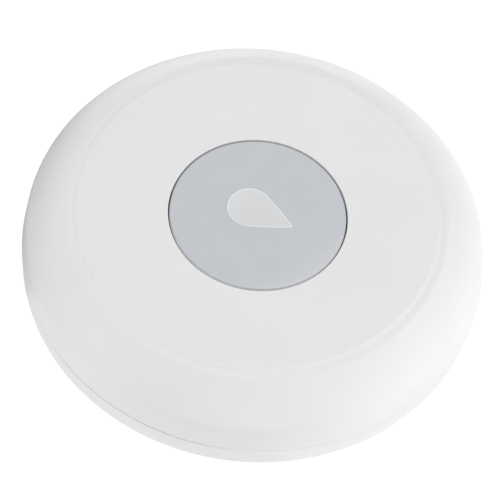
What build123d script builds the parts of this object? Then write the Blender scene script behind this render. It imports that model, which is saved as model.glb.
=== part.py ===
from build123d import *
from math import sin, cos, tan, radians
import os

os.makedirs("parts", exist_ok=True)

# ---------------------------------------------------------------------------
# Round puck-shaped water leak sensor. Millimetres, +Z up, z = 0 is the floor
# that the rubber feet stand on, and the puck's axis is the Z axis. The tip of
# the drop-shaped window points to +Y.
# ---------------------------------------------------------------------------

# outer shell
R_BODY = 37.5          # widest radius, at the parting line
Z_TOP = 19.0           # flat top plane
Z_PART = 7.24          # parting line between top cover and base
Z_UNDER = 1.1          # underside of the base
Z_FLOOR = 3.1          # inner floor of the base
Z_CEIL = 17.0          # inner ceiling of the top cover
EDGE_CH = 0.1          # fine chamfers that make the V line at the parting
DRAFT_UP = 4.2         # draft of the cover's wall, degrees
Z_WALL_END = 11.0      # where the cover's straight wall ends
R_ARC_LOW = 3.5        # small arc between wall and shoulder
N_LOW = 30.5           # surface normal where small arc meets shoulder arc, degrees
R_ARC_SHOULDER = 18.0  # large shoulder arc
N_TOP = 57.5           # surface normal at the shoulder's upper end, degrees
R_STEP_TOP = 29.38     # top edge of the shallow step round the flat top
R_STEP_LOW = 29.74     # foot of that step
Z_LAND = 18.64         # the narrow land outside the step
DRAFT_DOWN = 5.5       # draft of the base's wall, degrees
R_CORNER = 3.1         # lower corner of the base
R_COVER_IN = 35.3      # inner wall of the cover at the joint
R_LIP_OUT = 35.2       # base lip that plugs into the cover
R_LIP_IN = 33.8
Z_LIP = 9.2

# button
R_BUTTON = 14.30
R_APERTURE = 14.54
R_COLLAR = 15.95       # guide collar under the cover
Z_COLLAR = 15.1
Z_BUTTON_TOP = 19.0
Z_BUTTON_DISC = 17.5
TRAVEL = 0.5           # button travel
HOOK_W = 4.0
WINDOW_W = 4.5

# drop-shaped window: a circle with two tangents that meet in a tip
DROP_R = 3.75
DROP_C = (-0.62, -1.76)   # centre of the round end
DROP_TIP = 8.0            # tip distance from that centre, towards +Y
DROP_HALF = 27.95         # where the round end meets the sides, degrees above its centre
DROP_GAP = 0.02

# battery bay, coaxial with the puck
LEAD = 12.0            # lead of the cap's three ramps, mm per turn
TURN_DEG = 75.0        # turn from locked to free
R_RIB_PATH = 14.8      # radius of the ramp's guide line
R_NECK_IN, R_NECK_OUT = 12.6, 14.0
R_LEDGE = 14.15
R_BAY = 15.5
R_TUBE = 17.2
Z_TUBE = 8.4
R_CAP = 17.6
R_CAP_POCKET = 17.8
Z_CAP_OUT = 1.3
Z_CAP_IN = 2.9         # the cell lies on this face
Z_SEAT = 2.9           # face in the base that the cap's seal presses on
Z_RAMP = 5.6           # ramp height at the lug's lower end
LUG_DEG = 24.0
CELL_R, CELL_H = 12.25, 7.7   # standard 24.5 x 7.7 mm coin cell

# inner parts
Z_BOARD, T_BOARD, R_BOARD = 12.0, 1.0, 31.0
R_POST = 28.6          # pitch radius of cover posts, feet and probes
POST_ANGLES = (90, 210, 330)
PROBE_ANGLES = (22, 38, 142, 158, 262, 278)
EAR_ANGLES = (0, 120, 240)
BUZZER_AT = (24.8 * cos(radians(60)), 24.8 * sin(radians(60)))


def polar(r, a, z=0.0):
    return (r * cos(radians(a)), r * sin(radians(a)), z)


def done(builder, name):
    builder.part.label = name
    export_step(builder.part, f"parts/{name}.step")
    print(name, round(builder.part.volume, 2), len(builder.part.solids()))


def ramp_bar(r_in, r_out, z0, height, a0, a1):
    """Right-hand helical bar between two radii; z0 is its lower face's height at angle 0."""
    span = a1 - a0
    with BuildPart(mode=Mode.PRIVATE) as bar:
        with BuildLine() as path:
            Helix(pitch=LEAD, height=LEAD * span / 360, radius=R_RIB_PATH)
        with BuildSketch(Plane(origin=path.line @ 0, x_dir=(1, 0, 0), z_dir=path.line % 0)):
            with Locations((r_in - R_RIB_PATH, 0)):
                Rectangle(r_out - r_in, height, align=(Align.MIN, Align.MAX))
        sweep(is_frenet=True)
    return bar.part.rotate(Axis.Z, a0).moved(Location((0, 0, z0 + LEAD * a0 / 360)))


def drop_face(builder_plane, grow=0.0):
    """The drop outline on a plane, grown or shrunk by an even amount."""
    h = DROP_TIP
    cx, cy = DROP_C
    tx, ty = DROP_R * cos(radians(DROP_HALF)), DROP_R * sin(radians(DROP_HALF))
    with BuildSketch(builder_plane, mode=Mode.PRIVATE) as face:
        with BuildLine():
            # round end, then slightly bulged sides up to the tip
            ThreePointArc((cx - tx, cy + ty), (cx, cy - DROP_R), (cx + tx, cy + ty))
            ThreePointArc((cx + tx, cy + ty), (cx + tx / 2 + 0.10, cy + (ty + h) / 2 + 0.05), (cx, cy + h))
            ThreePointArc((cx, cy + h), (cx - tx / 2 - 0.10, cy + (ty + h) / 2 + 0.05), (cx - tx, cy + ty))
        make_face()
        if grow:
            offset(amount=grow, kind=Kind.ARC if grow > 0 else Kind.INTERSECTION)
    return face.sketch


# ---------------------------------------------------------------------------
# Top cover: one moulded shell with a round aperture, guide collar, three
# screw posts and three small bosses for the retainer ring
# ---------------------------------------------------------------------------
d_up = radians(DRAFT_UP)
wall_r = R_BODY - (Z_WALL_END - Z_PART) * tan(d_up)
with BuildPart() as top_cover:
    with BuildSketch(Plane.XZ) as prof:
        with BuildLine():
            e0 = Line((R_BODY - EDGE_CH, Z_PART), (R_BODY - EDGE_CH * tan(d_up), Z_PART + EDGE_CH))
            e1 = Line(e0 @ 1, (wall_r, Z_WALL_END))
            e2 = JernArc(e1 @ 1, (-sin(d_up), cos(d_up)), R_ARC_LOW, N_LOW - DRAFT_UP)
            e3 = JernArc(e2 @ 1, e2 % 1, R_ARC_SHOULDER, N_TOP - N_LOW)
            land_end = e3 @ 1
            Polyline(land_end, (R_STEP_LOW, Z_LAND), (R_STEP_TOP, Z_TOP), (R_APERTURE, Z_TOP),
                     (R_APERTURE, Z_COLLAR), (R_COLLAR, Z_COLLAR), (R_COLLAR, Z_CEIL), (29.6, Z_CEIL))
            ThreePointArc((29.6, Z_CEIL), (32.75, 14.65), (35.0, 11.5))
            Polyline((35.0, 11.5), (R_COVER_IN, 9.8), (R_COVER_IN, Z_PART), (R_BODY - EDGE_CH, Z_PART))
        make_face()
        for (pr, pz), rad in (((land_end.X, land_end.Y), 0.9), ((R_STEP_LOW, Z_LAND), 0.45),
                              ((R_STEP_TOP, Z_TOP), 0.6), ((R_APERTURE, Z_TOP), 0.14)):
            fillet(prof.vertices().sort_by_distance((pr, pz))[0], rad)
    revolve(axis=Axis.Z)
    with BuildSketch(Plane.XY.offset(5.6)):
        for a in POST_ANGLES:
            with Locations(polar(R_POST, a)[:2]):
                Circle(2.8)
    extrude(amount=Z_CEIL - 5.6 + 0.4)
    with BuildSketch(Plane.XY.offset(5.6)):
        for a in POST_ANGLES:
            with Locations(polar(R_POST, a)[:2]):
                Circle(1.1)
    extrude(amount=6.8, mode=Mode.SUBTRACT)
    with BuildSketch(Plane.XY.offset(14.6)):
        for a in EAR_ANGLES:
            with Locations(polar(18.0, a)[:2]):
                Circle(1.9)
    extrude(amount=Z_CEIL - 14.6 + 0.2)
    with BuildSketch(Plane.XY.offset(14.6)):
        for a in EAR_ANGLES:
            with Locations(polar(18.0, a)[:2]):
                Circle(0.75)
    extrude(amount=2.2, mode=Mode.SUBTRACT)
    # stiffening ribs between collar and shoulder
    with BuildSketch(Plane.XY.offset(15.6)):
        with PolarLocations(23.6, 6, start_angle=30):
            Rectangle(9.0, 1.0)
    extrude(amount=Z_CEIL - 15.6 + 0.2)
    # windows in the collar for the button's hooks
    with BuildSketch(Plane.XY.offset(15.35)):
        with PolarLocations(R_APERTURE + 0.75, 3, start_angle=30):
            Rectangle(2.2, WINDOW_W)
    extrude(amount=1.45, mode=Mode.SUBTRACT)
done(top_cover, "top_cover")

# ---------------------------------------------------------------------------
# Button group
# ---------------------------------------------------------------------------
with BuildPart() as button_cap:
    with BuildSketch(Plane.XZ) as prof:
        with BuildLine():
            Polyline((0, Z_BUTTON_DISC), (12.9, Z_BUTTON_DISC), (12.9, 15.8), (R_BUTTON, 15.8),
                     (R_BUTTON, Z_BUTTON_TOP), (0, Z_BUTTON_TOP), close=True)
        make_face()
        fillet(prof.vertices().sort_by_distance((R_BUTTON, Z_BUTTON_TOP))[0], 0.45)
        fillet(prof.vertices().sort_by_distance((12.9, Z_BUTTON_DISC))[0], 0.5)
    revolve(axis=Axis.Z)
    with BuildSketch(Plane.XY.offset(16.05)):
        with PolarLocations(14.5, 3, start_angle=30):
            Rectangle(1.2, HOOK_W)
    extrude(amount=0.7)
    # three ribs under the disc
    with BuildSketch(Plane.XY.offset(16.6)):
        with PolarLocations(10.6, 3, start_angle=90):
            Rectangle(4.8, 0.8)
    extrude(amount=0.95)
    extrude(drop_face(Plane.XY.offset(Z_BUTTON_DISC - 0.1)), amount=2.0, mode=Mode.SUBTRACT)
done(button_cap, "button_cap")

with BuildPart() as drop_lens:
    extrude(drop_face(Plane.XY.offset(18.15), -DROP_GAP), amount=Z_BUTTON_TOP - 18.15)
done(drop_lens, "drop_lens")

with BuildPart() as light_guide:
    extrude(drop_face(Plane.XY.offset(17.5), -DROP_GAP), amount=0.65)
    extrude(drop_face(Plane.XY.offset(16.6), 1.0), amount=0.9)
    with BuildSketch(Plane.XY.offset(15.6)):
        Circle(2.2)
    extrude(amount=1.0)
done(light_guide, "light_guide")

with BuildPart() as button_membrane:
    with BuildSketch(Plane.XZ):
        with BuildLine():
            Polyline((0, 15.12), (4.0, 15.12), (12.2, 14.6), (R_COLLAR, 14.6), (R_COLLAR, Z_COLLAR),
                     (12.4, Z_COLLAR), (4.0, 15.6), (0, 15.6), close=True)
        make_face()
    revolve(axis=Axis.Z)
done(button_membrane, "button_membrane")

with BuildPart() as membrane_retainer:
    with BuildSketch(Plane.XY.offset(13.9)) as ring:
        Circle(16.6)
        for a in EAR_ANGLES:
            with Locations(polar(18.0, a)[:2]):
                Circle(2.2)
        fillet(ring.vertices(), 0.8)
        Circle(12.8, mode=Mode.SUBTRACT)
        for a in EAR_ANGLES:
            with Locations(polar(18.0, a)[:2]):
                Circle(0.9, mode=Mode.SUBTRACT)
    extrude(amount=0.7)
done(membrane_retainer, "membrane_retainer")

with BuildPart() as retainer_screws:
    with BuildSketch(Plane.XY.offset(13.22)) as head:
        for a in EAR_ANGLES:
            with Locations(polar(18.0, a)[:2]):
                Circle(1.4)
    extrude(amount=0.68)
    with BuildSketch(Plane.XY.offset(13.9)):
        for a in EAR_ANGLES:
            with Locations(polar(18.0, a)[:2]):
                Circle(0.75)
    extrude(amount=2.6)
    with BuildSketch(Plane.XY.offset(13.22)):
        for a in EAR_ANGLES:
            with Locations(polar(18.0, a)[:2]):
                Rectangle(1.6, 0.35)
                Rectangle(0.35, 1.6)
    extrude(amount=0.35, mode=Mode.SUBTRACT)
done(retainer_screws, "retainer_screws")

# ---------------------------------------------------------------------------
# Circuit board and what is soldered to it
# ---------------------------------------------------------------------------
with BuildPart() as main_board:
    with BuildSketch(Plane.XY.offset(Z_BOARD)) as brd:
        Circle(R_BOARD)
        for a in POST_ANGLES:
            with Locations(Location(polar(R_POST, a), (0, 0, a))):
                Circle(3.3, mode=Mode.SUBTRACT)
                Rectangle(8.0, 6.6, align=(Align.MIN, Align.CENTER), mode=Mode.SUBTRACT)
        for x, y in ((-14.1, 0.0), (7.05, 12.2), (7.05, -12.2)):
            with Locations((x, y)):
                Circle(0.85, mode=Mode.SUBTRACT)
        for x, y in ((21.0, 14.0), (-16.0, -21.0)):
            with Locations((x, y)):
                Circle(1.0, mode=Mode.SUBTRACT)
    extrude(amount=T_BOARD)
done(main_board, "main_board")

Z_PCB = Z_BOARD + T_BOARD
with BuildPart() as switch_body:
    with BuildSketch(Plane.XY.offset(Z_PCB)) as sb:
        Rectangle(6.0, 6.0)
        chamfer(sb.vertices(), 0.5)
    extrude(amount=1.5)
    with BuildSketch(Plane.XY.offset(Z_PCB + 0.4)):
        Circle(1.85)
    extrude(amount=1.5, mode=Mode.SUBTRACT)
    for sx in (-1, 1):
        with BuildSketch(Plane.XY.offset(Z_PCB)):
            with Locations((sx * 3.6, 2.0), (sx * 3.6, -2.0)):
                Rectangle(1.4, 0.7)
        extrude(amount=0.2)
done(switch_body, "switch_body")

with BuildPart() as switch_plunger:
    with BuildSketch(Plane.XY.offset(14.2)):
        Circle(1.75)
    extrude(amount=0.92)
    chamfer(switch_plunger.faces().sort_by(Axis.Z)[-1].edges(), 0.15)
done(switch_plunger, "switch_plunger")

with BuildPart() as status_leds:
    for x, y in ((-5.6, 3.2), (5.6, 3.2), (0.0, -6.4)):
        with BuildSketch(Plane.XY.offset(Z_PCB)):
            with Locations((x, y)):
                Rectangle(1.8, 1.0)
        extrude(amount=0.35)
        with BuildSketch(Plane.XY.offset(Z_PCB + 0.35)):
            with Locations((x, y)):
                Rectangle(1.2, 0.9)
        extrude(amount=0.35)
done(status_leds, "status_leds")

with BuildPart() as radio_board:
    with BuildSketch(Plane.XY.offset(Z_PCB)):
        with Locations((-23.4, 0.0)):
            Rectangle(12.0, 15.0)
    extrude(amount=0.8)
done(radio_board, "radio_board")

with BuildPart() as rf_shield:
    with BuildSketch(Plane.XY.offset(Z_PCB + 0.8)) as shd:
        with Locations((-22.9, -1.4)):
            Rectangle(9.8, 10.6)
        fillet(shd.vertices(), 0.6)
    extrude(amount=1.7)
    with BuildSketch(Plane.XY.offset(Z_PCB + 0.8)):
        with Locations((-22.9, -1.4)):
            Rectangle(9.4, 10.2)
    extrude(amount=1.5, mode=Mode.SUBTRACT)
done(rf_shield, "rf_shield")

with BuildPart() as radio_antenna:
    # printed meander at the free end of the radio board
    with BuildSketch(Plane.XY.offset(Z_PCB + 0.8)):
        for i in range(4):
            with Locations((-27.6 + 2.4 * i, 5.5)):
                Rectangle(0.5, 2.8)
        for i in range(3):
            with Locations((-26.4 + 2.4 * i, 6.65 if i % 2 else 4.35)):
                Rectangle(2.9, 0.5)
    extrude(amount=0.06)
done(radio_antenna, "radio_antenna")

with BuildPart() as microcontroller:
    with BuildSketch(Plane(origin=(21.6, -7.2, Z_PCB), x_dir=polar(1, -25), z_dir=(0, 0, 1))):
        Rectangle(6.0, 6.0)
    extrude(amount=0.85)
    chamfer(microcontroller.faces().sort_by(Axis.Z)[-1].edges(), 0.12)
done(microcontroller, "microcontroller")

with BuildPart() as crystal:
    with BuildSketch(Plane(origin=(17.6, -15.6, Z_PCB), x_dir=polar(1, -25), z_dir=(0, 0, 1))) as cr:
        Rectangle(3.2, 2.5)
        fillet(cr.vertices(), 0.35)
    extrude(amount=0.75)
done(crystal, "crystal")

with BuildPart() as board_components:
    spots = ((27.2, -4.4, 75), (27.4, -1.6, 85), (13.2, -17.6, -25), (14.2, -10.6, -25), (14.6, -13.4, -25),
             (26.4, 4.2, 90), (24.0, 4.6, 90), (8.5, -20.6, 0), (5.5, -20.6, 0), (2.5, -20.6, 0),
             (-8.0, 22.6, 0), (-11.0, 21.2, 20), (-15.4, 9.6, 90), (-15.4, -9.6, 90))
    for x, y, a in spots:
        with BuildSketch(Plane(origin=(x, y, Z_PCB), x_dir=polar(1, a), z_dir=(0, 0, 1))):
            Rectangle(1.6, 0.8)
        extrude(amount=0.65)
done(board_components, "board_components")

with BuildPart() as reservoir_capacitor:
    with BuildSketch(Plane.XY.offset(Z_PCB)):
        with Locations((-2.0, 22.3)):
            Rectangle(7.0, 4.3)
    extrude(amount=2.4)
    chamfer(reservoir_capacitor.faces().sort_by(Axis.Z)[-1].edges(), 0.25)
done(reservoir_capacitor, "reservoir_capacitor")

with BuildPart() as buzzer:
    with BuildSketch(Plane.XY.offset(6.5)) as bz:
        with Locations(BUZZER_AT):
            Circle(6.0)
    extrude(amount=Z_BOARD - 6.5)
    fillet(buzzer.faces().sort_by(Axis.Z)[0].edges(), 0.5)
    with BuildSketch(Plane.XY.offset(6.5)):
        with Locations(BUZZER_AT):
            Circle(1.1)
    extrude(amount=1.2, mode=Mode.SUBTRACT)
done(buzzer, "buzzer")

# ---------------------------------------------------------------------------
# Power: coin cell, its holder and the two contacts
# ---------------------------------------------------------------------------
with BuildPart() as coin_cell:
    z0, z1 = Z_CAP_IN, Z_CAP_IN + CELL_H
    with BuildSketch(Plane.XZ) as prof:
        with BuildLine():
            Polyline((0, z0), (CELL_R, z0), (CELL_R, z1 - 0.55), (11.3, z1 - 0.3), (11.1, z1 - 0.75),
                     (10.9, z1 - 0.75), (10.7, z1), (0, z1), close=True)
        make_face()
        fillet(prof.vertices().sort_by_distance((CELL_R, z0))[0], 0.8)
        fillet(prof.vertices().sort_by_distance((10.7, z1))[0], 0.3)
    revolve(axis=Axis.Z)
done(coin_cell, "coin_cell")

with BuildPart() as battery_holder:
    with BuildSketch(Plane.XY.offset(Z_TUBE)):
        Circle(15.2)
        Circle(13.0, mode=Mode.SUBTRACT)
    extrude(amount=Z_BOARD - Z_TUBE)
    with BuildSketch(Plane.XY.offset(Z_TUBE - 0.1)):
        with Locations((14.0, 0)):
            Rectangle(4.0, 6.4)
    extrude(amount=Z_BOARD - Z_TUBE + 0.2, mode=Mode.SUBTRACT)
    with BuildSketch(Plane.XY.offset(Z_BOARD)):
        with Locations((-14.1, 0.0), (7.05, 12.2), (7.05, -12.2)):
            Circle(0.8)
    extrude(amount=0.85)
done(battery_holder, "battery_holder")

with BuildPart() as positive_contact:
    with BuildSketch(Plane.XZ.offset(-2.5)) as pc:
        with BuildLine() as pl:
            Polyline((12.75, 8.0), (12.47, 8.9), (12.47, 11.85), (17.4, 11.85))
        trace(pl.line, line_width=0.26)
    extrude(amount=5.0)
done(positive_contact, "positive_contact")

with BuildPart() as negative_contact:
    with BuildSketch(Plane.XZ.offset(-1.6)):
        with BuildLine() as nl:
            Polyline((-9.6, 11.86), (-7.2, 11.86), (-2.4, 10.76), (2.4, 10.76), (7.2, 11.86), (9.6, 11.86))
        trace(nl.line, line_width=0.26)
    extrude(amount=3.2)
done(negative_contact, "negative_contact")

# ---------------------------------------------------------------------------
# Base: floor, lip with seal groove, battery bay with three helical ramps,
# screw bosses, probe bosses, foot recesses and the sound holes
# ---------------------------------------------------------------------------
d_dn = radians(DRAFT_DOWN)
z_c = Z_UNDER + R_CORNER * (1 - sin(d_dn))
r_c = R_BODY - (Z_PART - z_c) * tan(d_dn)
with BuildPart() as base_cover:
    with BuildSketch(Plane.XZ) as prof:
        with BuildLine():
            b0 = Line((R_BODY - EDGE_CH, Z_PART), (R_BODY - EDGE_CH * tan(d_dn), Z_PART - EDGE_CH))
            b1 = Line(b0 @ 1, (r_c, z_c))
            b2 = JernArc(b1 @ 1, (-sin(d_dn), -cos(d_dn)), R_CORNER, -(90 - DRAFT_DOWN))
            Polyline(b2 @ 1, (0, Z_UNDER), (0, Z_FLOOR), (R_LIP_IN, Z_FLOOR), (R_LIP_IN, Z_LIP),
                     (R_LIP_OUT - 0.2, Z_LIP), (R_LIP_OUT, Z_LIP - 0.3), (R_LIP_OUT, 8.7), (34.5, 8.7),
                     (34.5, 7.8), (R_LIP_OUT, 7.8), (R_LIP_OUT, Z_PART), (R_BODY - EDGE_CH, Z_PART))
        make_face()
        fillet(prof.vertices().sort_by_distance((R_LIP_IN, Z_FLOOR))[0], 1.0)
    revolve(axis=Axis.Z)
    # boss ring and tube of the battery bay
    with BuildSketch(Plane.XY.offset(Z_FLOOR - 0.1)):
        Circle(19.4)
    extrude(amount=1.6)
    with BuildSketch(Plane.XY.offset(Z_FLOOR)):
        Circle(R_TUBE)
    extrude(amount=Z_TUBE - Z_FLOOR - 0.1)
    # screw bosses and probe bosses
    with BuildSketch(Plane.XY.offset(Z_FLOOR - 0.1)):
        for a in POST_ANGLES:
            with Locations(polar(R_POST, a)[:2]):
                Circle(4.0)
    extrude(amount=2.6)
    with BuildSketch(Plane.XY.offset(Z_FLOOR - 0.1)):
        for a in PROBE_ANGLES:
            with Locations(polar(R_POST, a)[:2]):
                Circle(3.1)
    extrude(amount=1.4)
    # radial stiffening ribs on the floor
    with BuildSketch(Plane.XY.offset(Z_FLOOR - 0.1)):
        for a in (0, 120, 180, 240, 300):
            with Locations(Location(polar(26.0, a), (0, 0, a))):
                Rectangle(14.5, 1.0)
    extrude(amount=1.6)
    # cap pocket and bay bore
    with BuildSketch(Plane.XY.offset(Z_UNDER - 0.5)):
        Circle(R_CAP_POCKET)
    extrude(amount=Z_SEAT - Z_UNDER + 0.5, mode=Mode.SUBTRACT)
    with BuildSketch(Plane.XY.offset(Z_SEAT - 0.5)):
        Circle(R_LEDGE)
    extrude(amount=Z_TUBE, mode=Mode.SUBTRACT)
    # three entry slots for the cap's lugs
    for k in range(3):
        a0, a1 = -81 + 120 * k, -45 + 120 * k
        with BuildSketch(Plane.XY.offset(Z_SEAT - 0.5)):
            with BuildLine():
                Line(polar(13.0, a0)[:2], polar(R_BAY, a0)[:2])
                ThreePointArc(polar(R_BAY, a0)[:2], polar(R_BAY, (a0 + a1) / 2)[:2], polar(R_BAY, a1)[:2])
                Line(polar(R_BAY, a1)[:2], polar(13.0, a1)[:2])
                ThreePointArc(polar(13.0, a1)[:2], polar(13.0, (a0 + a1) / 2)[:2], polar(13.0, a0)[:2])
            make_face()
        extrude(amount=Z_TUBE, mode=Mode.SUBTRACT)
    # three helical channels above the ramps
    channel = ramp_bar(13.2, R_BAY, Z_RAMP, 5.5, -48.0, LUG_DEG + 1.2)
    with PolarLocations(0, 3):
        add(channel, mode=Mode.SUBTRACT)
    # foot recesses, screw counterbores and holes
    with BuildSketch(Plane.XY.offset(Z_UNDER - 0.5)):
        for a in POST_ANGLES:
            with Locations(polar(R_POST, a)[:2]):
                Circle(5.0)
    extrude(amount=1.0, mode=Mode.SUBTRACT)
    with BuildSketch(Plane.XY.offset(1.5)):
        for a in POST_ANGLES:
            with Locations(polar(R_POST, a)[:2]):
                Circle(2.3)
    extrude(amount=1.9, mode=Mode.SUBTRACT)
    with BuildSketch(Plane.XY.offset(3.0)):
        for a in POST_ANGLES:
            with Locations(polar(R_POST, a)[:2]):
                Circle(1.25)
    extrude(amount=3.0, mode=Mode.SUBTRACT)
    # probe recesses and holes
    with BuildSketch(Plane.XY.offset(Z_UNDER - 0.5)):
        for a in PROBE_ANGLES:
            with Locations(polar(R_POST, a)[:2]):
                Circle(2.9)
    extrude(amount=1.3, mode=Mode.SUBTRACT)
    with BuildSketch(Plane.XY.offset(1.5)):
        for a in PROBE_ANGLES:
            with Locations(polar(R_POST, a)[:2]):
                Circle(1.15)
    extrude(amount=4.0, mode=Mode.SUBTRACT)
    # sound holes
    with BuildSketch(Plane.XY.offset(Z_UNDER - 0.5)):
        with Locations(BUZZER_AT):
            Circle(0.5)
            with PolarLocations(2.6, 6):
                Circle(0.5)
    extrude(amount=3.0, mode=Mode.SUBTRACT)
    # two engraved triangles beside the cap: locked and open
    for a in (LUG_DEG / 2 - 90, LUG_DEG / 2 - 90 - TURN_DEG):
        with BuildSketch(Plane(origin=polar(20.4, a, Z_UNDER - 0.5), x_dir=polar(1, a), z_dir=(0, 0, 1))):
            with BuildLine():
                Polyline((-1.0, 0), (0.9, 1.1), (0.9, -1.1), close=True)
            make_face()
        extrude(amount=0.7, mode=Mode.SUBTRACT)
done(base_cover, "base_cover")

with BuildPart() as housing_seal:
    with BuildSketch(Plane.XZ) as prof:
        with BuildLine():
            Polyline((34.5, 7.8), (R_COVER_IN, 7.8), (R_COVER_IN, 8.7), (34.5, 8.7), close=True)
        make_face()
        fillet(prof.vertices().group_by(Axis.X)[-1], 0.25)
    revolve(axis=Axis.Z)
done(housing_seal, "housing_seal")

with BuildPart() as housing_screws:
    with BuildSketch(Plane.XY.offset(2.0)):
        for a in POST_ANGLES:
            with Locations(polar(R_POST, a)[:2]):
                Circle(2.0)
    extrude(amount=1.4)
    fillet(housing_screws.faces().filter_by(Axis.Z).group_by(Axis.Z)[0].edges(), 0.4)
    with BuildSketch(Plane.XY.offset(3.4)):
        for a in POST_ANGLES:
            with Locations(polar(R_POST, a)[:2]):
                Circle(1.1)
    extrude(amount=8.2)
    with BuildSketch(Plane.XY.offset(2.0)):
        for a in POST_ANGLES:
            with Locations(polar(R_POST, a)[:2]):
                Rectangle(2.4, 0.5)
                Rectangle(0.5, 2.4)
    extrude(amount=0.8, mode=Mode.SUBTRACT)
done(housing_screws, "housing_screws")

with BuildPart() as battery_cap:
    with BuildSketch(Plane.XZ) as prof:
        with BuildLine():
            Polyline((0, Z_CAP_OUT), (R_CAP, Z_CAP_OUT), (R_CAP, 2.7), (16.75, 2.7), (16.75, 2.0),
                     (15.75, 2.0), (15.75, 2.7), (R_NECK_OUT, 2.7), (R_NECK_OUT, 7.8), (R_NECK_IN, 7.8),
                     (R_NECK_IN, Z_CAP_IN), (0, Z_CAP_IN), close=True)
        make_face()
        fillet(prof.vertices().sort_by_distance((R_CAP, Z_CAP_OUT))[0], 0.3)
        chamfer(prof.vertices().sort_by_distance((R_NECK_IN, 7.8))[0], 0.4)
    revolve(axis=Axis.Z)
    lug = ramp_bar(13.6, 15.3, Z_RAMP + 0.06, 1.3, 0.0, LUG_DEG)
    with PolarLocations(0, 3):
        add(lug)
    # coin slot
    with BuildSketch(Plane.XY.offset(Z_CAP_OUT - 0.5)):
        SlotOverall(15.0, 2.0)
    extrude(amount=1.4, mode=Mode.SUBTRACT)
    # engraved mark that lines up with the triangles on the base
    with BuildSketch(Plane(origin=polar(15.6, LUG_DEG / 2 - 90, Z_CAP_OUT - 0.5), x_dir=polar(1, LUG_DEG / 2 - 90), z_dir=(0, 0, 1))):
        with BuildLine():
            Polyline((1.0, 0), (-0.9, 1.1), (-0.9, -1.1), close=True)
        make_face()
    extrude(amount=0.7, mode=Mode.SUBTRACT)
done(battery_cap, "battery_cap")

with BuildPart() as cap_seal:
    with BuildSketch(Plane.XZ) as prof:
        with BuildLine():
            Polyline((15.8, 2.0), (16.7, 2.0), (16.7, Z_SEAT), (15.8, Z_SEAT), close=True)
        make_face()
        fillet(prof.vertices(), 0.25)
    revolve(axis=Axis.Z)
done(cap_seal, "cap_seal")

# ---------------------------------------------------------------------------
# Water probes: domed screws through the base into pillars under the board
# ---------------------------------------------------------------------------
with BuildPart() as probe_screws:
    with BuildSketch(Plane.XY.offset(0.45)):
        for a in PROBE_ANGLES:
            with Locations(polar(R_POST, a)[:2]):
                Circle(2.5)
    extrude(amount=1.0)
    fillet(probe_screws.faces().filter_by(Axis.Z).group_by(Axis.Z)[0].edges(), 0.6)
    with BuildSketch(Plane.XY.offset(1.45)):
        for a in PROBE_ANGLES:
            with Locations(polar(R_POST, a)[:2]):
                Circle(1.0)
    extrude(amount=7.9)
    with BuildSketch(Plane.XY.offset(0.45)):
        for a in PROBE_ANGLES:
            with Locations(Location(polar(R_POST, a), (0, 0, a * 3.7))):
                Rectangle(2.4, 0.5)
                Rectangle(0.5, 2.4)
    extrude(amount=0.6, mode=Mode.SUBTRACT)
done(probe_screws, "probe_screws")

with BuildPart() as probe_seals:
    with BuildSketch(Plane.XY.offset(1.45)):
        for a in PROBE_ANGLES:
            with Locations(polar(R_POST, a)[:2]):
                Circle(2.45)
                Circle(1.0, mode=Mode.SUBTRACT)
    extrude(amount=0.45)
done(probe_seals, "probe_seals")

with BuildPart() as probe_pillars:
    with BuildSketch(Plane.XY.offset(4.4)):
        for a in PROBE_ANGLES:
            with Locations(Location(polar(R_POST, a), (0, 0, a))):
                RegularPolygon(2.15, 6)
    extrude(amount=Z_BOARD - 4.4)
    with BuildSketch(Plane.XY.offset(4.4)):
        for a in PROBE_ANGLES:
            with Locations(polar(R_POST, a)[:2]):
                Circle(1.0)
    extrude(amount=5.4, mode=Mode.SUBTRACT)
done(probe_pillars, "probe_pillars")

with BuildPart() as sound_membrane:
    with BuildSketch(Plane.XY.offset(Z_FLOOR)):
        with Locations(BUZZER_AT):
            Circle(4.6)
    extrude(amount=0.25)
done(sound_membrane, "sound_membrane")

with BuildPart() as rubber_feet:
    with BuildSketch(Plane.XY):
        for a in POST_ANGLES:
            with Locations(polar(R_POST, a)[:2]):
                Circle(4.85)
    extrude(amount=1.6)
    fillet(rubber_feet.faces().filter_by(Axis.Z).group_by(Axis.Z)[0].edges(), 0.35)
done(rubber_feet, "rubber_feet")
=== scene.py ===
import math

import bmesh
import bpy
from mathutils import Matrix, Vector


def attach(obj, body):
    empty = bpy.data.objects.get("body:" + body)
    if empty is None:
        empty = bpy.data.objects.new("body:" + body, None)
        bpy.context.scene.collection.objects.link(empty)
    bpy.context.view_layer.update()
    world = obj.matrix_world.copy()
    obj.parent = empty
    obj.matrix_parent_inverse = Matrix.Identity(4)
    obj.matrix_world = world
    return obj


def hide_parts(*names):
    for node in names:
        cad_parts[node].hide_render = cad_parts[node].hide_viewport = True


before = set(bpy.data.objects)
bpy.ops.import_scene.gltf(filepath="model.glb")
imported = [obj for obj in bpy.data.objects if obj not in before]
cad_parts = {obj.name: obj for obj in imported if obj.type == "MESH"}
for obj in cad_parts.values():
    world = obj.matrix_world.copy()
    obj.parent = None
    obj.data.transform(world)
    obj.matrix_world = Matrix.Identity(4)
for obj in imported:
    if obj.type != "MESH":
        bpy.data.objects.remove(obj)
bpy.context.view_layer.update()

MM = 0.001
IMAGE = 500                      # the photograph's frame, in pixels

# ---------------------------------------------------------------------------
# Camera: a long lens from the near side, at the photograph's angle
# ---------------------------------------------------------------------------
AZ, EL, ROLL = math.radians(109.8), math.radians(56.5949), 0.138991121
FOCAL_PX, DIST = 7601.3287, 1.2239793
TOP = Vector((0.0, 0.0, 0.019))
TOP_PX = (258.0186, 214.4657)    # where the centre of the flat top lies in the frame

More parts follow.
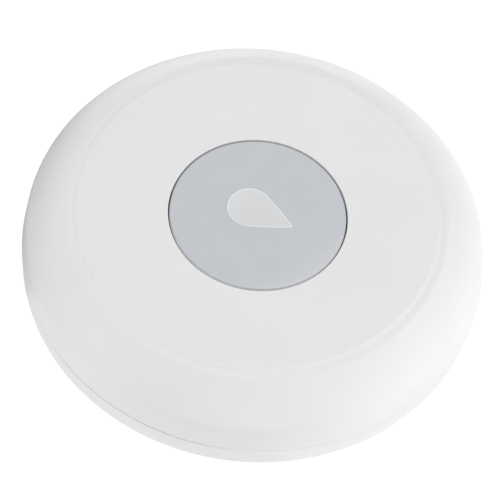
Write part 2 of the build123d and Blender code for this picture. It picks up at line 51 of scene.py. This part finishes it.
r0 = Vector((math.cos(AZ), math.sin(AZ), 0.0))
back = Vector((math.sin(AZ) * math.cos(EL), -math.cos(AZ) * math.cos(EL), math.sin(EL)))
up0 = back.cross(r0)
u_ax = math.cos(ROLL) * r0 + math.sin(ROLL) * up0
v_ax = -math.sin(ROLL) * r0 + math.cos(ROLL) * up0
eye = TOP + DIST * back
per_px = DIST / FOCAL_PX
aim = TOP - (TOP_PX[0] - IMAGE / 2) * per_px * u_ax - (IMAGE / 2 - TOP_PX[1]) * per_px * v_ax
cam_back = (eye - aim).normalized()
cam_up = (v_ax - v_ax.dot(cam_back) * cam_back).normalized()
cam_right = cam_up.cross(cam_back)
cam_data = bpy.data.cameras.new("camera")
cam_data.sensor_width = 36.0
cam_data.lens = FOCAL_PX / IMAGE * 36.0
cam_data.clip_start, cam_data.clip_end = 0.05, 20.0
camera = bpy.data.objects.new("camera", cam_data)
bpy.context.scene.collection.objects.link(camera)
camera.matrix_world = Matrix((
    (cam_right.x, cam_up.x, cam_back.x, eye.x),
    (cam_right.y, cam_up.y, cam_back.y, eye.y),
    (cam_right.z, cam_up.z, cam_back.z, eye.z),
    (0, 0, 0, 1)))
bpy.context.scene.camera = camera
bpy.context.scene.view_settings.view_transform = "Standard"
bpy.context.scene.view_settings.look = "None"

# horizontal directions as the camera sees them: right, and away
RIGHT = r0
AWAY = Vector((-math.sin(AZ), math.cos(AZ), 0.0))


# ---------------------------------------------------------------------------
# Node helpers
# ---------------------------------------------------------------------------
class Graph:
    """A small builder for one material's nodes. Lengths are in metres, in the object's own space."""

    def __init__(self, name):
        self.mat = bpy.data.materials.new(name)
        self.mat.use_nodes = True
        self.t = self.mat.node_tree
        self.t.nodes.clear()
        self.out = self.t.nodes.new("ShaderNodeOutputMaterial")
        self.b = self.t.nodes.new("ShaderNodeBsdfPrincipled")
        self.t.links.new(self.b.outputs["BSDF"], self.out.inputs["Surface"])
        self.pos = self.t.nodes.new("ShaderNodeTexCoord").outputs["Object"]

    def link(self, a, b):
        self.t.links.new(a, b)

    def feed(self, sock, v):
        if isinstance(v, bpy.types.NodeSocket):
            self.link(v, sock)
        else:
            sock.default_value = v

    def put(self, **kw):
        for k, v in kw.items():
            sock = self.b.inputs[k.replace("_", " ")]
            if isinstance(v, (tuple, list)) and len(v) == 3 and sock.type == "RGBA":
                v = (*v, 1.0)
            self.feed(sock, v)
        return self

    def spec(self, level):
        self.b.inputs["Specular IOR Level"].default_value = level

    def ior(self, v):
        self.b.inputs["IOR"].default_value = v

    def place(self, offset=(0, 0, 0), turn=(0, 0, 0), size=(1, 1, 1), kind="POINT", vec=None):
        n = self.t.nodes.new("ShaderNodeMapping")
        n.vector_type = kind
        self.link(vec or self.pos, n.inputs["Vector"])
        n.inputs["Location"].default_value = offset
        n.inputs["Rotation"].default_value = turn
        n.inputs["Scale"].default_value = size
        return n.outputs["Vector"]

    def noise(self, cell, detail=2.0, rough=0.5, vec=None, distort=0.0, colour=False):
        n = self.t.nodes.new("ShaderNodeTexNoise")
        self.link(vec or self.pos, n.inputs["Vector"])
        n.inputs["Scale"].default_value = 1.0 / cell
        n.inputs["Detail"].default_value = detail
        n.inputs["Roughness"].default_value = rough
        n.inputs["Distortion"].default_value = distort
        return n.outputs["Color" if colour else "Fac"]

    def cells(self, cell, feature="F1", metric="EUCLIDEAN", vec=None, out="Distance", random=1.0):
        n = self.t.nodes.new("ShaderNodeTexVoronoi")
        n.feature = feature
        if feature != "DISTANCE_TO_EDGE":
            n.distance = metric
        self.link(vec or self.pos, n.inputs["Vector"])
        n.inputs["Scale"].default_value = 1.0 / cell
        n.inputs["Randomness"].default_value = random
        return n.outputs[out]

    def ramp(self, fac, stops, interp="LINEAR"):
        n = self.t.nodes.new("ShaderNodeValToRGB")
        n.color_ramp.interpolation = interp
        el = n.color_ramp.elements
        while len(el) > 1:
            el.remove(el[-1])
        for i, (p, c) in enumerate(stops):
            e = el[0] if i == 0 else el.new(p)
            e.position = p
            e.color = (*c, 1.0) if isinstance(c, (tuple, list)) else (c, c, c, 1.0)
        self.feed(n.inputs["Fac"], fac)
        return n.outputs["Color"]

    def span(self, v, a, b, lo=0.0, hi=1.0, smooth=False):
        n = self.t.nodes.new("ShaderNodeMapRange")
        n.clamp = True
        if smooth:
            n.interpolation_type = "SMOOTHSTEP"
        self.feed(n.inputs["Value"], v)
        n.inputs["From Min"].default_value = a
        n.inputs["From Max"].default_value = b
        n.inputs["To Min"].default_value = lo
        n.inputs["To Max"].default_value = hi
        return n.outputs["Result"]

    def math(self, op, a, b=0.0):
        n = self.t.nodes.new("ShaderNodeMath")
        n.operation = op
        self.feed(n.inputs[0], a)
        self.feed(n.inputs[1], b)
        return n.outputs[0]

    def mix(self, fac, a, b):
        n = self.t.nodes.new("ShaderNodeMix")
        n.data_type = "RGBA"
        self.feed(n.inputs[0], fac)
        for sock, v in ((n.inputs[6], a), (n.inputs[7], b)):
            self.feed(sock, (*v, 1.0) if isinstance(v, (tuple, list)) else v)
        return n.outputs[2]

    def xyz(self, vec=None):
        n = self.t.nodes.new("ShaderNodeSeparateXYZ")
        self.link(vec or self.pos, n.inputs[0])
        return n.outputs[0], n.outputs[1], n.outputs[2]

    def vmath(self, op, a, b=None):
        n = self.t.nodes.new("ShaderNodeVectorMath")
        n.operation = op
        self.feed(n.inputs[0], a)
        if b is not None:
            self.feed(n.inputs[1], b)
        return n.outputs["Value"] if op in ("LENGTH", "DISTANCE", "DOT_PRODUCT") else n.outputs[0]

    def radius(self, vec=None):
        x, y, _ = self.xyz(vec)
        return self.math("SQRT", self.math("ADD", self.math("MULTIPLY", x, x), self.math("MULTIPLY", y, y)))

    def bump(self, height, depth, strength=1.0, normal=None):
        n = self.t.nodes.new("ShaderNodeBump")
        n.inputs["Strength"].default_value = strength
        n.inputs["Distance"].default_value = depth
        self.feed(n.inputs["Height"], height)
        if normal is not None:
            self.link(normal, n.inputs["Normal"])
        return n.outputs["Normal"]


def shades(colour, k):
    return tuple(min(1.0, c * k) for c in colour)


def moulded(name, colour, rough=0.45, drift=0.006, fleck=0.006, grain=0.00017, depth=0.0000012,
            spec=0.5, seed=0.0, flow=0.02, tint=None):
    """Moulded plastic: a slow drift of colour along the flow, a fine fleck, a spark-eroded grain
    in the bump, and roughness that follows both."""
    g = Graph(name)
    moved = g.place(offset=(seed, seed * 0.7, seed * 0.3))
    slow = g.noise(flow, 2.0, 0.5, moved, 0.6)
    fine = g.noise(grain * 2.2, 2.0, 0.6, moved)
    other = tint or shades(colour, 1 - 2 * drift)
    base = g.mix(g.span(slow, 0.3, 0.7, 0, 1, True), shades(colour, 1 + drift), other)
    base = g.mix(g.span(fine, 0.62, 0.78, 0, 1), base, g.mix(0.5, base, shades(colour, 1 - 6 * fleck)))
    tiny = g.noise(grain, 2.0, 0.65, moved)
    nrm = g.bump(g.noise(0.011, 1.0, 0.4, moved), 0.000012)
    nrm = g.bump(tiny, depth, normal=nrm)
    r = g.math("ADD", g.span(slow, 0.3, 0.7, rough - 0.025, rough + 0.025), g.span(tiny, 0.3, 0.7, -0.03, 0.03))
    g.put(Base_Color=base, Roughness=r, Normal=nrm)
    g.spec(spec)
    g.ior(1.5)
    return g


def metal(name, colour, rough=0.3, brushed=None, drift=0.04, seed=0.0, turned=None):
    """Metal with a fine finish: brushed along an axis, or turned round a centre, or tumbled."""
    g = Graph(name)
    moved = g.place(offset=(seed, seed, seed))
    slow = g.noise(0.004, 3.0, 0.6, moved)
    if brushed is not None:
        lines = g.noise(0.00006, 4.0, 0.6, g.place(size=brushed, vec=moved))
    elif turned is not None:
        g_r = turned(g)
        lines = g.math("ADD", g.math("MULTIPLY", g.math("SINE", g.math("MULTIPLY", g_r, 2 * math.pi / 0.00009)), 0.22),
                       g.noise(0.00012, 3.0, 0.6, moved))
    else:
        lines = g.noise(0.00012, 3.0, 0.6, moved)
    col = g.mix(g.span(slow, 0.3, 0.7), shades(colour, 1 + drift), shades(colour, 1 - drift))
    col = g.mix(g.span(lines, 0.35, 0.75, 0.0, 0.35), col, shades(colour, 0.82))
    g.put(Base_Color=col, Metallic=1.0,
          Roughness=g.math("ADD", g.span(lines, 0.3, 0.7, rough - 0.07, rough + 0.07), g.span(slow, 0.3, 0.7, -0.03, 0.03)),
          Normal=g.bump(lines, 0.0000012))
    return g


def nearest_ring(centres):
    """Distance from the nearest of several axes, for pieces that repeat round the puck."""
    def of(g):
        x, y, _ = g.xyz()
        best = None
        for cx, cy in centres:
            dx, dy = g.math("SUBTRACT", x, cx), g.math("SUBTRACT", y, cy)
            d = g.math("SQRT", g.math("ADD", g.math("MULTIPLY", dx, dx), g.math("MULTIPLY", dy, dy)))
            best = d if best is None else g.math("MINIMUM", best, d)
        return best
    return of


def at(radius, degrees):
    return radius * MM * math.cos(math.radians(degrees)), radius * MM * math.sin(math.radians(degrees))


SEAM_Z = 0.00724                 # parting line between cover and base
# the way in which the painted shade in the seam is darkest: the near left, away from the lamps
SEAM_SHADE_WAY = math.cos(math.radians(-119)) * RIGHT + math.sin(math.radians(-119)) * AWAY


def recolour(g, fac, colour):
    """Lays a colour over what the graph's base colour is so far."""
    g.put(Base_Color=g.mix(fac, g.b.inputs["Base Color"].links[0].from_socket, colour))
    return g


def painted_seam_shade(g):
    """Painted shade in the fine groove of the parting line: darkest on the near left, hardly any elsewhere."""
    x, y, z = g.xyz()
    r = g.radius()
    off = g.math("ABSOLUTE", g.math("SUBTRACT", z, SEAM_Z))
    ragged = g.noise(0.0011, 3.0, 0.6)
    line = g.span(g.math("ADD", off, g.span(ragged, 0.3, 0.7, -0.00003, 0.00003)), 0.00005, 0.00021, 1.0, 0.0)
    wall = g.span(r, 0.0370, 0.0372)
    toward = g.math("DIVIDE", g.math("ADD", g.math("MULTIPLY", x, SEAM_SHADE_WAY.x), g.math("MULTIPLY", y, SEAM_SHADE_WAY.y)), r)
    share = g.span(toward, 0.82, 0.965, 0.06, 1.0, True)
    # painted shade: the groove is darkened to grey where it faces the near left
    return recolour(g, g.math("MULTIPLY", g.math("MULTIPLY", line, wall), g.math("MULTIPLY", share, 0.42)), (0.26, 0.26, 0.26))


def painted_gap_light(g, edge, strength):
    """Painted light: a white glow on the walls of the fine gap round the button, strongest near the
    top, so they aren't dark there. edge is the radius of the wall, in mm."""
    off = g.math("ABSOLUTE", g.math("SUBTRACT", g.radius(), edge * MM))
    wall = g.span(off, 0.00003, 0.00006, 1.0, 0.0)
    depth = g.span(g.xyz()[2], 0.01825, 0.0189, 0.0, strength, True)
    # painted light: the wall of the gap glows white
    g.b.inputs["Emission Color"].default_value = (1, 1, 1, 1)
    g.feed(g.b.inputs["Emission Strength"], g.math("MULTIPLY", wall, depth))
    return g


def mottled_and_lit(g, cell, warm, cool):
    """Faint clouds of a warmer and a cooler tone, and a painted highlight towards the near right."""
    a, b = g.noise(cell, 3.0, 0.6), g.noise(cell * 1.7, 2.0, 0.5, g.place(offset=(0.4, 0.1, 0.2)))
    recolour(g, g.span(a, 0.50, 0.70, 0.0, 0.6), warm)
    recolour(g, g.span(b, 0.50, 0.70, 0.0, 0.6), cool)
    # painted highlight: a touch paler towards the near right, the side the lamps light most
    way = math.cos(math.radians(-42)) * RIGHT + math.sin(math.radians(-42)) * AWAY
    x, y, _ = g.xyz()
    toward = g.math("ADD", g.math("MULTIPLY", x, way.x), g.math("MULTIPLY", y, way.y))
    return recolour(g, g.span(toward, 0.0095, 0.0142, 0.0, 0.45, True), (0.640, 0.655, 0.672))


# ---------------------------------------------------------------------------
# Materials
# ---------------------------------------------------------------------------
WHITE = (0.800, 0.800, 0.800)
GREY = (0.551, 0.568, 0.604)
LENS = (0.690, 0.696, 0.706)

M = {}
# cover and base carry painted shade in the parting-line groove
M["top_cover"] = painted_gap_light(painted_seam_shade(moulded("cover_white", WHITE, 0.46, seed=0.013)), 14.54, 0.10).mat
M["base_cover"] = painted_seam_shade(moulded("base_white", WHITE, 0.48, seed=0.071)).mat
M["battery_cap"] = moulded("cap_white", shades(WHITE, 0.985), 0.46, seed=0.117).mat
# button: painted light on its gap wall, and a painted highlight towards the near right
M["button_cap"] = painted_gap_light(mottled_and_lit(moulded("button_grey", GREY, 0.50, drift=0.008, fleck=0.012, seed=0.031, flow=0.009,
                                           tint=(0.552, 0.575, 0.600)), 0.0016, (0.592, 0.588, 0.600),
                                   (0.528, 0.569, 0.602)), 14.30, 0.22).mat
M["drop_lens"] = moulded("lens_pale", LENS, 0.42, drift=0.004, seed=0.041, flow=0.006).mat

M["lens_rim"] = moulded("lens_rim", (0.800, 0.805, 0.812), 0.42, drift=0.004, seed=0.043, flow=0.006).mat


def finish_others():
    g = Graph("clear_guide")
    cloud = g.noise(0.0025, 2.0, 0.5)
    g.put(Base_Color=g.mix(g.span(cloud, 0.3, 0.7), (0.96, 0.975, 0.98), (0.90, 0.93, 0.95)),
          Roughness=g.span(cloud, 0.3, 0.7, 0.03, 0.10), Normal=g.bump(g.noise(0.0008, 2.0), 0.000003))
    g.b.inputs["Transmission Weight"].default_value = 0.85
    g.ior(1.49)
    M["light_guide"] = g.mat

    g = Graph("soft_silicone")
    n = g.noise(0.0012, 3.0, 0.6)
    g.put(Base_Color=g.mix(g.span(n, 0.3, 0.7), (0.80, 0.80, 0.78), (0.72, 0.72, 0.70)),
          Roughness=g.span(n, 0.3, 0.7, 0.48, 0.62), Normal=g.bump(g.noise(0.00025, 2.0), 0.000004))
    g.b.inputs["Subsurface Weight"].default_value = 0.25
    g.b.inputs["Subsurface Scale"].default_value = 0.001
    M["button_membrane"] = g.mat

    def rubber(name, colour, rough, grain, depth, bloom):
        g = Graph(name)
        n = g.noise(0.0016, 4.0, 0.6)
        fine = g.cells(grain, "F1")
        col = g.mix(g.span(n, 0.35, 0.75), colour, shades(colour, 1.35))
        col = g.mix(g.span(g.noise(0.006, 3.0, 0.6), 0.5, 0.8, 0.0, bloom), col, (0.42, 0.42, 0.41))
        g.put(Base_Color=col, Roughness=g.span(fine, 0.0, 0.6, rough - 0.08, rough + 0.06),
              Normal=g.bump(fine, depth, normal=g.bump(n, 0.00001)))
        g.spec(0.35)
        return g.mat
    M["rubber_feet"] = rubber("foot_rubber", (0.115, 0.117, 0.120), 0.80, 0.00028, 0.000012, 0.22)
    M["housing_seal"] = rubber("seal_black", (0.022, 0.022, 0.023), 0.55, 0.00020, 0.000004, 0.05)
    M["cap_seal"] = rubber("cap_seal_black", (0.024, 0.024, 0.025), 0.50, 0.00018, 0.000004, 0.05)
    M["probe_seals"] = rubber("probe_seal_black", (0.026, 0.026, 0.027), 0.60, 0.00018, 0.000004, 0.08)

    g = Graph("porous_film")
    pores = g.cells(0.00009, "F1")
    g.put(Base_Color=g.mix(g.span(pores, 0.05, 0.3), (0.60, 0.60, 0.59), (0.88, 0.88, 0.87)),
          Roughness=g.span(pores, 0.0, 0.5, 0.95, 0.82), Normal=g.bump(pores, 0.00001))
    g.spec(0.3)
    M["sound_membrane"] = g.mat

    # solder mask with copper runs showing through as a lighter green, and tinned dots
    for key, name, cell, s in (("main_board", "solder_mask", 0.0021, 0.2), ("radio_board", "radio_mask", 0.0012, 0.7)):
        g = Graph(name)
        moved = g.place(offset=(s, s * 0.5, 0))
        x, y, z = g.xyz(moved)
        flat = g.place(size=(1, 1, 0.0001), vec=moved)
        runs = g.cells(cell, "F2", "MANHATTAN", flat)
        first = g.cells(cell, "F1", "MANHATTAN", flat)
        gap = g.math("SUBTRACT", runs, first)
        track = g.span(gap, 0.10, 0.16, 1.0, 0.0)
        dots = g.span(g.cells(cell * 1.9, "F1", "EUCLIDEAN", g.place(offset=(0.3, 0.1, 0), vec=flat)), 0.10, 0.13, 1.0, 0.0)
        mask = g.noise(0.003, 3.0, 0.6, moved)
        col = g.mix(g.span(mask, 0.3, 0.7), (0.016, 0.105, 0.050), (0.022, 0.130, 0.062))
        col = g.mix(track, col, (0.045, 0.215, 0.105))
        col = g.mix(dots, col, (0.62, 0.60, 0.55))
        g.put(Base_Color=col, Metallic=g.math("MULTIPLY", dots, 0.9), Roughness=g.span(mask, 0.3, 0.7, 0.30, 0.40),
              Normal=g.bump(track, 0.00002, normal=g.bump(g.noise(0.0003, 2.0, 0.5, moved), 0.000002)))
        g.b.inputs["Coat Weight"].default_value = 0.25
        g.b.inputs["Coat Roughness"].default_value = 0.2
        M[key] = g.mat

    M["radio_antenna"] = metal("antenna_gold", (0.86, 0.62, 0.30), 0.30, seed=0.3).mat
    M["switch_body"] = moulded("switch_black", (0.026, 0.026, 0.028), 0.42, drift=0.05, fleck=0.03, seed=0.5, flow=0.004).mat
    M["switch_plunger"] = moulded("plunger_dark", (0.040, 0.040, 0.043), 0.35, drift=0.05, fleck=0.03, seed=0.6, flow=0.003).mat
    M["microcontroller"] = moulded("chip_black", (0.020, 0.020, 0.021), 0.55, drift=0.06, fleck=0.06, grain=0.00012,
                                   depth=0.000003, seed=0.7, flow=0.004).mat
    M["buzzer"] = moulded("buzzer_black", (0.024, 0.024, 0.026), 0.38, drift=0.05, fleck=0.03, seed=0.8, flow=0.006).mat
    M["battery_holder"] = moulded("holder_grey", (0.085, 0.087, 0.092), 0.52, drift=0.03, fleck=0.03, seed=0.9, flow=0.008).mat
    M["membrane_retainer"] = moulded("retainer_grey", (0.105, 0.107, 0.112), 0.52, drift=0.03, fleck=0.03, seed=1.0, flow=0.008).mat

    g = Graph("lamp_body")
    _, _, z = g.xyz()
    n = g.noise(0.00035, 3.0, 0.6)
    gel = g.mix(g.span(n, 0.3, 0.7), (0.86, 0.72, 0.20), (0.92, 0.80, 0.34))
    case = g.mix(g.span(n, 0.3, 0.7), (0.86, 0.86, 0.83), (0.78, 0.78, 0.75))
    up = g.span(z, 0.01334, 0.01337)
    g.put(Base_Color=g.mix(up, case, gel), Roughness=g.mix(up, (0.5, 0.5, 0.5), (0.18, 0.18, 0.18)),
          Normal=g.bump(n, 0.000004))
    M["status_leds"] = g.mat

    M["rf_shield"] = metal("tin_shield", (0.72, 0.72, 0.71), 0.30, brushed=(0.05, 1, 1), seed=0.2).mat
    M["crystal"] = metal("tin_crystal", (0.76, 0.76, 0.75), 0.22, brushed=(1, 0.06, 1), seed=0.4).mat

    g = Graph("chip_parts")
    n = g.noise(0.0004, 3.0, 0.6)
    each = g.cells(0.0024, "F1", out="Color", random=0.3)
    g.put(Base_Color=g.mix(g.span(n, 0.3, 0.7, 0.0, 0.5), g.mix(g.math("MULTIPLY", each, 0.6), (0.36, 0.24, 0.14), (0.52, 0.40, 0.26)), (0.24, 0.17, 0.10)),
          Roughness=g.span(n, 0.3, 0.7, 0.35, 0.55), Normal=g.bump(n, 0.000004))
    M["board_components"] = g.mat

    g = Graph("capacitor_yellow")
    x, _, _ = g.xyz()
    n = g.noise(0.0006, 3.0, 0.6)
    stripe = g.math("MULTIPLY", g.span(x, -0.00478, -0.00474, 1.0, 0.0), g.span(x, -0.00542, -0.00538, 0.0, 1.0))
    body = g.mix(g.span(n, 0.3, 0.7), (0.74, 0.44, 0.06), (0.66, 0.38, 0.05))
    g.put(Base_Color=g.mix(stripe, body, (0.16, 0.075, 0.02)), Roughness=g.span(n, 0.3, 0.7, 0.36, 0.5), Normal=g.bump(n, 0.000005))
    M["reservoir_capacitor"] = g.mat

    M["positive_contact"] = metal("contact_gold_a", (0.88, 0.64, 0.31), 0.26, brushed=(1, 0.05, 1), seed=0.6).mat
    M["negative_contact"] = metal("contact_gold_b", (0.88, 0.64, 0.31), 0.26, brushed=(0.05, 1, 1), seed=0.9).mat
    M["coin_cell"] = metal("cell_nickel", (0.74, 0.735, 0.72), 0.27, turned=lambda g: g.radius(), seed=0.15).mat
    M["housing_screws"] = metal("screw_zinc", (0.62, 0.62, 0.62), 0.34, turned=nearest_ring([at(28.6, a) for a in (90, 210, 330)]), seed=0.25).mat
    M["retainer_screws"] = metal("retainer_zinc", (0.62, 0.62, 0.62), 0.34, turned=nearest_ring([at(18.0, a) for a in (0, 120, 240)]), seed=0.35).mat
    M["probe_screws"] = metal("probe_bright", (0.80, 0.79, 0.76), 0.16,
                              turned=nearest_ring([at(28.6, a) for a in (22, 38, 142, 158, 262, 278)]), seed=0.45).mat
    M["probe_pillars"] = metal("pillar_brass", (0.80, 0.60, 0.29), 0.30,
                               turned=lambda g: g.xyz()[2], seed=0.55).mat


finish_others()
for name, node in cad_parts.items():
    node.data.materials.clear()
    node.data.materials.append(M[name])

# ---------------------------------------------------------------------------
# Mesh helpers
# ---------------------------------------------------------------------------
def finish_mesh(name, bm, mats, body, stands_for=(), sharp=35.0):
    """Makes a named piece from a bmesh in millimetres, smooth but for its sharp edges."""
    bmesh.ops.recalc_face_normals(bm, faces=bm.faces)
    bmesh.ops.scale(bm, vec=(MM, MM, MM), verts=bm.verts)
    mesh = bpy.data.meshes.new(name)
    bm.to_mesh(mesh)
    bm.free()
    for m in mats:
        mesh.materials.append(m)
    mesh.polygons.foreach_set("use_smooth", [True] * len(mesh.polygons))
    mesh.set_sharp_from_angle(angle=math.radians(sharp))
    o = bpy.data.objects.new(name, mesh)
    bpy.context.scene.collection.objects.link(o)
    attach(o, body)
    if stands_for:
        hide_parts(*stands_for)
    return o


def skin(bm, loops, closed_ends=(True, True), mats=None):
    """Joins rings of equal count; ends are capped. mats gives each band's material index."""
    rings = [[bm.verts.new(p) for p in ring] for ring in loops]
    n = len(rings[0])
    for i in range(len(rings) - 1):
        for k in range(n):
            f = bm.faces.new((rings[i][k], rings[i][(k + 1) % n], rings[i + 1][(k + 1) % n], rings[i + 1][k]))
            f.material_index = mats[i] if mats else 0
    caps = []
    for end, ring in ((0, rings[0]), (1, rings[-1])):
        if closed_ends[end]:
            f = bm.faces.new(ring)
            f.material_index = mats[-1] if mats else 0
            caps.append(f)
    return rings, caps


# ---------------------------------------------------------------------------
# Drop-shaped window: the outline of the CAD lens, with a fine rounded edge and
# the light rim that shows all round it
# ---------------------------------------------------------------------------
DROP_R, DROP_CX, DROP_CY, DROP_TIP, DROP_HALF, DROP_GAP = 3.75, -0.62, -1.76, 8.0, 27.95, 0.02
Z_WINDOW, RIM = 18.998, 0.24


def arc3(p, q, r, ts):
    """Points at shares ts of the arc from p through q to r."""
    (ax, ay), (bx, by), (cx, cy) = p, q, r
    d = 2 * (ax * (by - cy) + bx * (cy - ay) + cx * (ay - by))
    ux = ((ax * ax + ay * ay) * (by - cy) + (bx * bx + by * by) * (cy - ay) + (cx * cx + cy * cy) * (ay - by)) / d
    uy = ((ax * ax + ay * ay) * (cx - bx) + (bx * bx + by * by) * (ax - cx) + (cx * cx + cy * cy) * (bx - ax)) / d
    rad = math.hypot(ax - ux, ay - uy)
    a0, am, a1 = (math.atan2(y - uy, x - ux) for x, y in (p, q, r))
    turn = (a1 - a0) % (2 * math.pi)
    if (am - a0) % (2 * math.pi) > turn:
        turn -= 2 * math.pi
    return [(ux + rad * math.cos(a0 + turn * t), uy + rad * math.sin(a0 + turn * t)) for t in ts]


def drop_outline():
    tx, ty = DROP_R * math.cos(math.radians(DROP_HALF)), DROP_R * math.sin(math.radians(DROP_HALF))
    left, right = (DROP_CX - tx, DROP_CY + ty), (DROP_CX + tx, DROP_CY + ty)
    low, tip = (DROP_CX, DROP_CY - DROP_R), (DROP_CX, DROP_CY + DROP_TIP)
    mid = (DROP_CY * 2 + ty + DROP_TIP) / 2 + 0.05
    bulge_r, bulge_l = (DROP_CX + tx / 2 + 0.10, mid), (DROP_CX - tx / 2 - 0.10, mid)
    pts = arc3(left, low, right, [i / 96 for i in range(96)])
    pts += arc3(right, bulge_r, tip, [0.9 * i / 27 for i in range(28)])
    pts += [tip]
    pts += arc3(tip, bulge_l, left, [0.1 + 0.9 * i / 28 for i in range(28)])
    return pts


def inset(pts, d):
    """The outline moved inwards by d, with mitred corners; pts run anticlockwise."""
    out, n = [], len(pts)
    for i in range(n):
        (ax, ay), (bx, by), (cx, cy) = pts[i - 1], pts[i], pts[(i + 1) % n]
        l1, l2 = math.hypot(bx - ax, by - ay), math.hypot(cx - bx, cy - by)
        n1, n2 = (-(by - ay) / l1, (bx - ax) / l1), (-(cy - by) / l2, (cx - bx) / l2)
        k = d / (1 + n1[0] * n2[0] + n1[1] * n2[1])
        out.append((bx + k * (n1[0] + n2[0]), by + k * (n1[1] + n2[1])))
    return out


edge = drop_outline()
bm = bmesh.new()
levels = [(DROP_GAP, 18.15), (DROP_GAP, Z_WINDOW - 0.05), (DROP_GAP + 0.012, Z_WINDOW - 0.02), (DROP_GAP + 0.045, Z_WINDOW),
          (DROP_GAP + RIM, Z_WINDOW), (DROP_GAP + RIM + 0.02, Z_WINDOW - 0.006)]
rings = [[(x, y, z) for x, y in inset(edge, d)] for d, z in levels]
_, caps = skin(bm, rings, mats=[1, 1, 1, 1, 0])
bmesh.ops.triangulate(bm, faces=caps)
window = finish_mesh("drop_window", bm, [M["drop_lens"], M["lens_rim"]], "button", ["drop_lens"], 25.0)


# ---------------------------------------------------------------------------
# Stage: a pale table that only the camera sees, the light that the table throws
# back, room light and lamps
# ---------------------------------------------------------------------------
WORLD = 0.5
TABLE_GLOW, TABLE_ALBEDO = 0.93, 0.20
# azimuth as the camera sees it (0 right, -90 near, 180 left, 90 away), elevation, distance, size, radiance
LAMPS = [
    (-150.0, 10.0, 0.80, 0.60, 0.97),
    (-180.0, 10.0, 0.80, 0.60, 0.40),
    (-90.0, 10.0, 0.80, 0.60, 2.00),
    (-30.0, 10.0, 0.80, 0.60, 0.78),
    (0.0, 10.0, 0.80, 0.60, 0.42),
    (150.0, 10.0, 0.80, 0.60, 1.34),
    (30.0, 56.0, 0.80, 0.60, 2.33),
    (0.0, 90.0, 0.80, 0.60, 0.78),
]
# light thrown back by the table, in four rings of twelve sectors from azimuth -180 on;
# it is weakest on the left, where the puck shades the table
RINGS = [(0.026, 0.038), (0.038, 0.065), (0.065, 0.150), (0.150, 0.800)]
THROWN = [
    (0.10, 0.55, 0.90, 0.95, 1.10, 1.40, 1.60, 1.60, 1.20, 0.80, 0.40, 0.0),
    (0.25, 0.88, 0.84, 0.86, 1.06, 1.05, 1.08, 1.49, 1.24, 0.81, 0.46, 0.0),
    (0.0, 1.11, 1.01, 0.0, 1.25, 2.20, 1.77, 1.34, 1.15, 1.64, 1.60, 0.0),
    (0.02, 0.83, 0.52, 0.0, 0.0, 0.97, 1.20, 0.75, 0.91, 1.24, 1.29, 0.17),
]


def flat_disc(name, z):
    bm = bmesh.new()
    bmesh.ops.create_circle(bm, cap_ends=True, radius=3.6, segments=96)
    mesh = bpy.data.meshes.new(name)
    bm.to_mesh(mesh)
    bm.free()
    o = bpy.data.objects.new(name, mesh)
    o.location.z = z
    bpy.context.scene.collection.objects.link(o)
    return o


table = flat_disc("table", -0.00001)
table.visible_diffuse = table.visible_glossy = table.visible_transmission = table.visible_shadow = False
g = Graph("table_pale")
cloud = g.noise(0.12, 2.0, 0.5)
g.put(Base_Color=g.mix(g.span(cloud, 0.3, 0.7), (TABLE_ALBEDO,) * 3, (TABLE_ALBEDO * 0.985,) * 3), Roughness=g.span(cloud, 0.3, 0.7, 0.88, 0.92))
g.spec(0.0)
g.b.inputs["Emission Color"].default_value = (1, 1, 1, 1)
g.b.inputs["Emission Strength"].default_value = TABLE_GLOW
table.data.materials.append(g.mat)

under = flat_disc("table_block", -0.00005)
under.visible_camera = False
g = Graph("table_block")
g.put(Base_Color=g.mix(g.noise(0.1), (0.0, 0.0, 0.0), (0.001, 0.001, 0.001)), Roughness=g.span(g.noise(0.1), 0.3, 0.7, 0.95, 1.0))
g.spec(0.0)
under.data.materials.append(g.mat)

bm = bmesh.new()
glow = bm.faces.layers.float.new("glow")
for (r1, r2), strengths in zip(RINGS, THROWN):
    for k, strength in enumerate(strengths):
        steps = [math.radians(-195 + 30 * k + 30 * i / 6) for i in range(7)]
        ways = [math.cos(a) * RIGHT + math.sin(a) * AWAY for a in steps]
        low = [bm.verts.new(w * r1) for w in ways]
        far = [bm.verts.new(w * r2) for w in ways]
        for i in range(6):
            f = bm.faces.new((low[i], far[i], far[i + 1], low[i + 1]))
            f[glow] = strength
mesh = bpy.data.meshes.new("table_light")
bm.to_mesh(mesh)
bm.free()
thrown = bpy.data.objects.new("table_light", mesh)
thrown.location.z = -0.00003
thrown.visible_camera = False
bpy.context.scene.collection.objects.link(thrown)
g = Graph("table_light")
g.put(Base_Color=g.mix(g.noise(0.1), (0.0, 0.0, 0.0), (0.001, 0.001, 0.001)))
g.spec(0.0)
share = g.t.nodes.new("ShaderNodeAttribute")
share.attribute_name = "glow"
g.b.inputs["Emission Color"].default_value = (1, 1, 1, 1)
g.feed(g.b.inputs["Emission Strength"], share.outputs["Fac"])
mesh.materials.append(g.mat)

world = bpy.data.worlds.new("room")
world.use_nodes = True
world.node_tree.nodes["Background"].inputs["Color"].default_value = (1, 1, 1, 1)
world.node_tree.nodes["Background"].inputs["Strength"].default_value = WORLD
bpy.context.scene.world = world


def lamp(name, azimuth, elevation, distance, size, radiance):
    a, e = math.radians(azimuth), math.radians(elevation)
    way = math.cos(e) * (math.cos(a) * RIGHT + math.sin(a) * AWAY) + math.sin(e) * Vector((0, 0, 1))
    data = bpy.data.lights.new(name, "AREA")
    data.shape = "DISK"
    data.size = size
    # a disc's radiance is its power over pi times its area
    data.energy = radiance * math.pi * math.pi * (size / 2) ** 2
    o = bpy.data.objects.new(name, data)
    o.location = Vector((0, 0, 0.01)) + distance * way
    o.rotation_mode = "QUATERNION"
    o.rotation_quaternion = way.to_track_quat("Z", "Y")
    o.visible_camera = False
    bpy.context.scene.collection.objects.link(o)
    return o


for i, row in enumerate(LAMPS):
    lamp(f"lamp_{i + 1}", *row)
